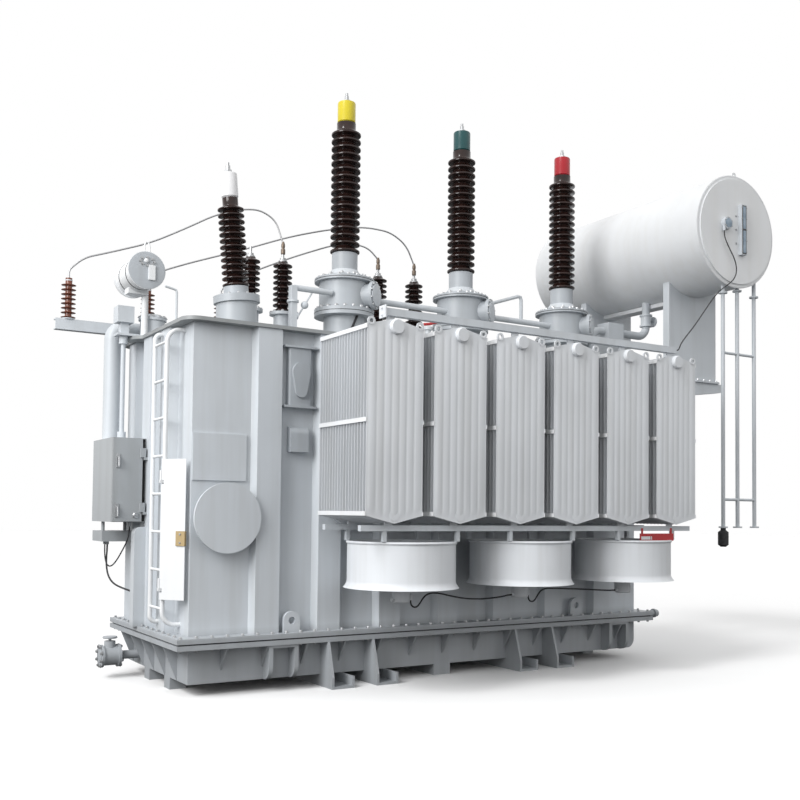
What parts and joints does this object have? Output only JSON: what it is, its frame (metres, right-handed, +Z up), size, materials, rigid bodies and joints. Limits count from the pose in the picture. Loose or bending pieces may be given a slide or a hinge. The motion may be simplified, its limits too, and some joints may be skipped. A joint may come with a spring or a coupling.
{
  "type": "power transformer",
  "caption": "Oil-filled high-voltage transformer: bell tank on skids, finned radiators with fans, shed bushings, conservator drum, tap-changer cabinet and ladder.",
  "frame": {"origin": "on the ground under the middle of the tank, on the underside of the middle skid", "axes": "+X along the tank towards the conservator, -Y towards the front radiators, +Z up"},
  "size_m": [7.2099, 3.7578, 5.582],
  "materials": {
    "grey_paint": "satin pale grey paint",
    "white_paint": "satin off-white paint",
    "gasket": "matt black rubber",
    "dark_porcelain": "glossy dark brown glaze",
    "brown_porcelain": "glossy red-brown glaze",
    "cap_yellow": "gloss yellow paint",
    "cap_green": "gloss blue-green paint",
    "cap_red": "gloss red paint",
    "cap_white": "gloss white paint",
    "lead_metal": "dull aluminium",
    "breather_black": "black plastic and dark granules",
    "black_cable": "black sheath"
  },
  "bodies": {
    "tank": {"base_tank": "grey_paint", "bell_tank": "grey_paint", "blanking_plate": "grey_paint", "breather": "breather_black", "breather_pipes": "grey_paint", "conservator_ends": "white_paint", "conservator_shell": "white_paint", "conservator_supports": "grey_paint", "control_cables": "black_cable", "cooler_frames": "grey_paint", "drain_valve": "grey_paint", "drive_cabinet": "grey_paint", "drive_gear": "grey_paint", "drive_shaft": "grey_paint", "fan_cables": "black_cable", "fan_casing_1": "white_paint", "fan_casing_2": "white_paint", "fan_casing_3": "white_paint", "fan_casings_rear": "white_paint", "fan_rotors_rear": "white_paint", "flange_gasket": "gasket", "gas_pipes": "grey_paint", "gauge_box": "grey_paint", "hv_cap_green": "cap_green", "hv_cap_red": "cap_red", "hv_cap_yellow": "cap_yellow", "hv_porcelains": "dark_porcelain", "hv_turrets": "grey_paint", "ladder_rails": "white_paint", "ladder_rungs": "white_paint", "level_gauge": "grey_paint", "lv_bushings": "dark_porcelain", "lv_leads": "lead_metal", "lv_turrets": "grey_paint", "manhole_cover": "grey_paint", "neutral_cap": "cap_white", "neutral_porcelain": "dark_porcelain", "neutral_turret": "grey_paint", "oil_pipe": "grey_paint", "post_beam": "grey_paint", "post_insulators": "brown_porcelain", "pulling_lugs": "grey_paint", "radiator_front_1": "grey_paint", "radiator_front_2": "grey_paint", "radiator_front_3": "grey_paint", "radiator_front_4": "grey_paint", "radiator_front_5": "grey_paint", "radiator_front_6": "grey_paint", "radiator_valves": "grey_paint", "radiators_rear": "grey_paint", "riser_pipe": "grey_paint", "skid_beams": "grey_paint", "small_conservator": "white_paint", "tank_cover": "grey_paint", "tap_changer_head": "grey_paint"},
    "cabinet_door": {"cabinet_door": "grey_paint"},
    "ladder_guard": {"ladder_guard": "white_paint"},
    "fan_rotor_1": {"fan_rotor_1": "white_paint"},
    "fan_rotor_2": {"fan_rotor_2": "white_paint"},
    "fan_rotor_3": {"fan_rotor_3": "white_paint"}
  },
  "joints": [
    {"name": "cabinet_door_hinge", "type": "hinge", "parent": "tank", "child": "cabinet_door", "pos_m": [-2.542, 0.09, 1.745], "axis": [0, 0, 1], "range_deg": [0, 90]},
    {"name": "ladder_guard_hinge", "type": "hinge", "parent": "tank", "child": "ladder_guard", "pos_m": [-2.625, -0.61, 1.335], "axis": [0, 0, -1], "range_deg": [0, 219]},
    {"name": "fan_1_spin", "type": "hinge", "parent": "tank", "child": "fan_rotor_1", "pos_m": [-0.823, -1.396, 1.062], "axis": [0, 0, 1], "continuous": true},
    {"name": "fan_2_spin", "type": "hinge", "parent": "tank", "child": "fan_rotor_2", "pos_m": [0.433, -1.396, 1.062], "axis": [0, 0, 1], "continuous": true},
    {"name": "fan_3_spin", "type": "hinge", "parent": "tank", "child": "fan_rotor_3", "pos_m": [1.689, -1.396, 1.062], "axis": [0, 0, 1], "continuous": true}
  ]
}
